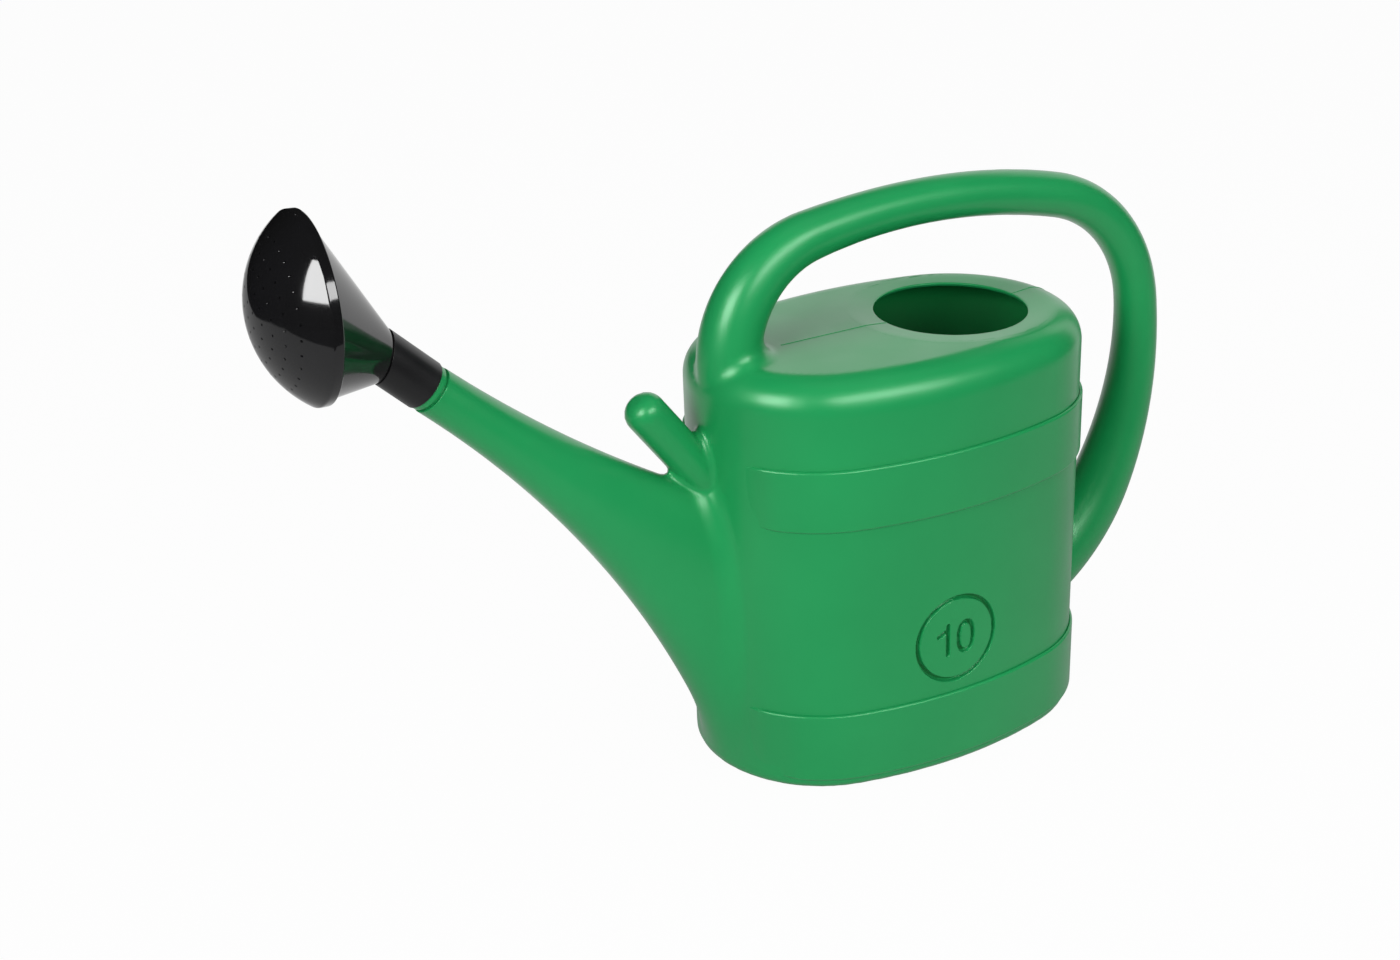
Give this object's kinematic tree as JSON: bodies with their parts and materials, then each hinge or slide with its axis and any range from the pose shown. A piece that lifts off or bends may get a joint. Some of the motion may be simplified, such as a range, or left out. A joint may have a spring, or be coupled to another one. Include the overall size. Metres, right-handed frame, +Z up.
{
  "type": "watering can",
  "caption": "Oval hollow watering can with a looped handle, a long tapering spout and a black rose with a domed, pierced face that turns on the spout's end.",
  "frame": {"origin": "middle of the tank's base, on the ground", "axes": "+Z up, the spout points to -X, the handle is at +X, and the XZ plane is the plane of symmetry"},
  "size_m": [0.6048, 0.177, 0.4003],
  "materials": {
    "green_plastic": "satin, through-coloured polyethylene",
    "black_plastic": "glossy, the socket satin"
  },
  "bodies": {
    "can": {"can_body": "green_plastic"},
    "rose": {"rose_funnel": "black_plastic"},
    "face": {"rose_face": "black_plastic"}
  },
  "joints": [
    {"name": "rose_turn", "type": "hinge", "parent": "can", "child": "rose", "pos_m": [-0.2995, 0, 0.2923], "axis": [-0.7193, 0, 0.6947], "continuous": true},
    {"name": "face_off", "type": "slide", "parent": "rose", "child": "face", "axis": [-0.9991, 0, 0.0419], "range_m": [0, 0.04]}
  ]
}
